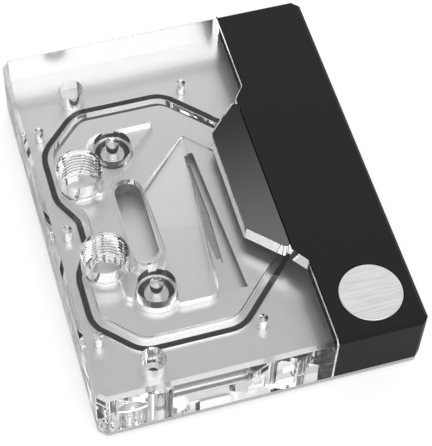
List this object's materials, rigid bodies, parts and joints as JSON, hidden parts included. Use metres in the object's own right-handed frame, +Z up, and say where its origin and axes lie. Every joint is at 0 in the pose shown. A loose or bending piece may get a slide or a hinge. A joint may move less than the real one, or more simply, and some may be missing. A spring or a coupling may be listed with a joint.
{
  "type": "cpu water block",
  "caption": "Flat rectangular liquid cooling block for a processor with a clear top, two threaded ports, a metal cold plate and a dark side cover.",
  "frame": {"origin": "middle of the underside, on the contact face of the cold plate", "axes": "+Z up from the contact face to the ports, +X towards the dark cover, +Y along the length of the block away from the badge"},
  "size_m": [0.0888, 0.1126, 0.0214],
  "materials": {
    "nickel_plate": "satin nickel plating",
    "clear_acrylic": "polished clear acrylic",
    "black_anodised": "fine matt black anodising",
    "black_gloss": "polished black",
    "brushed_badge": "brushed",
    "black_rubber": "moulded rubber",
    "screw_steel": "turned steel",
    "circuit_board": "black board",
    "emitter_lens": "milky lens",
    "adhesive_pad": "foam tape"
  },
  "bodies": {
    "root": {"cold_plate": "nickel_plate", "flow_plate": "nickel_plate", "clear_top": "clear_acrylic", "main_seal": "black_rubber", "side_cover": "black_anodised", "cover_panel": "black_gloss", "badge": "brushed_badge", "badge_pad": "adhesive_pad", "light_board": "circuit_board", "light_emitters": "emitter_lens", "rim_screws": "screw_steel", "cover_screws": "screw_steel", "middle_screw_far": "screw_steel", "middle_screw_near": "screw_steel", "middle_seal_far": "black_rubber", "middle_seal_near": "black_rubber", "post_1": "screw_steel", "post_2": "screw_steel", "post_3": "screw_steel", "post_4": "screw_steel"}
  },
  "joints": []
}
